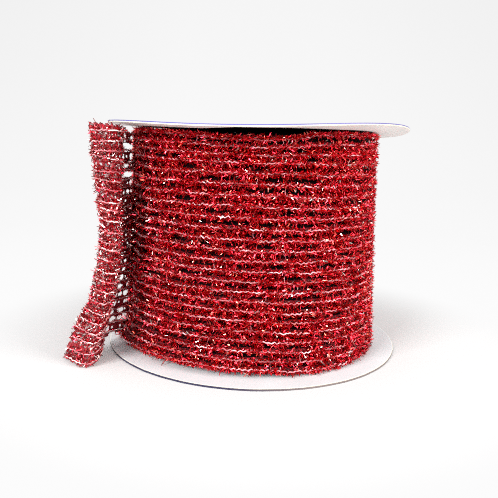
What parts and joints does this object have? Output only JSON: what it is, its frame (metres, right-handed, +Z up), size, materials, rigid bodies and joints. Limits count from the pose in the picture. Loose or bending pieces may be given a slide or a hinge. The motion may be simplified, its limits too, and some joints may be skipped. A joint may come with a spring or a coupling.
{
  "type": "roll of tinsel ribbon on a flanged spool",
  "caption": "Wide tinsel mesh ribbon wound on a board spool between two flanges, standing on the lower flange, with one loose curled end.",
  "frame": {"origin": "middle of the lower flange's underside, where the spool rests", "axes": "+Z up along the spool's axis; -Y towards the viewer in the picture; the loose end lies on the -X side and curls towards -Y"},
  "size_m": [0.1529, 0.14, 0.1055],
  "materials": {
    "white_board": "white coated board with a thin violet print at the cut edge",
    "red_tinsel": "shiny red film tinsel knitted in rows"
  },
  "bodies": {
    "root": {"flange_bottom": "white_board", "flange_top": "white_board", "ribbon_roll": "red_tinsel", "ribbon_tail": "red_tinsel"}
  },
  "joints": []
}
